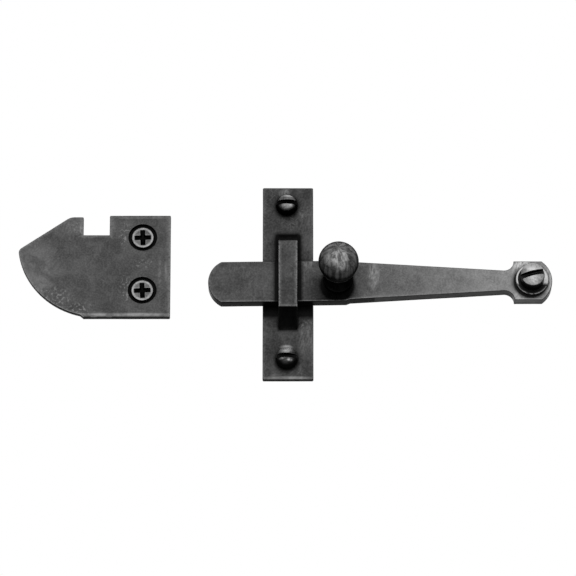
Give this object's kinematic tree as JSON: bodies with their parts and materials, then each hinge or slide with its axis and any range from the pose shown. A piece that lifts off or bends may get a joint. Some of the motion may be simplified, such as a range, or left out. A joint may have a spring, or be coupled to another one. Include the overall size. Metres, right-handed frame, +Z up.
{
  "type": "drop-bar door latch",
  "caption": "Black iron door latch: a flat bar with a ball knob swings on a screw through a guide staple on a plate and drops into a notched strike.",
  "frame": {"origin": "middle of the keeper plate's back face, on the face of the door", "axes": "+Z up, +X to the right of someone facing the door, from the nose of the bar towards its pivot, +Y into the door"},
  "size_m": [0.2665, 0.0666, 0.1034],
  "materials": {
    "plate_iron": "blackened wrought plate, matt, edges rubbed a little brighter",
    "staple_iron": "blackened strap, brushed along its length, edges rubbed bright",
    "bar_iron": "blackened bar, rubbed a paler grey towards the eye",
    "knob_iron": "turned ball, dark, handled to a soft shine",
    "screw_iron": "blackened screw, head rubbed bright",
    "pivot_screw_iron": "screw head rubbed almost bare",
    "washer_iron": "blackened washer with a bright rim",
    "strike_iron": "blackened plate, matt and mottled, finely scratched by the screws"
  },
  "bodies": {
    "ironwork": {"keeper_plate": "plate_iron", "guide_staple": "staple_iron", "keeper_screw_top": "screw_iron", "keeper_screw_bottom": "screw_iron", "pivot_spacer": "washer_iron", "pivot_washer": "washer_iron", "pivot_screw": "pivot_screw_iron", "strike_plate": "strike_iron", "strike_screw_upper": "screw_iron", "strike_screw_lower": "screw_iron"},
    "bar": {"latch_bar": "bar_iron", "knob": "knob_iron"}
  },
  "joints": [
    {"name": "bar_swing", "type": "hinge", "parent": "ironwork", "child": "bar", "pos_m": [0.12155, -0.00675, -0.0014], "axis": [0, 1, 0], "range_deg": [-1.7, 3.8]}
  ]
}
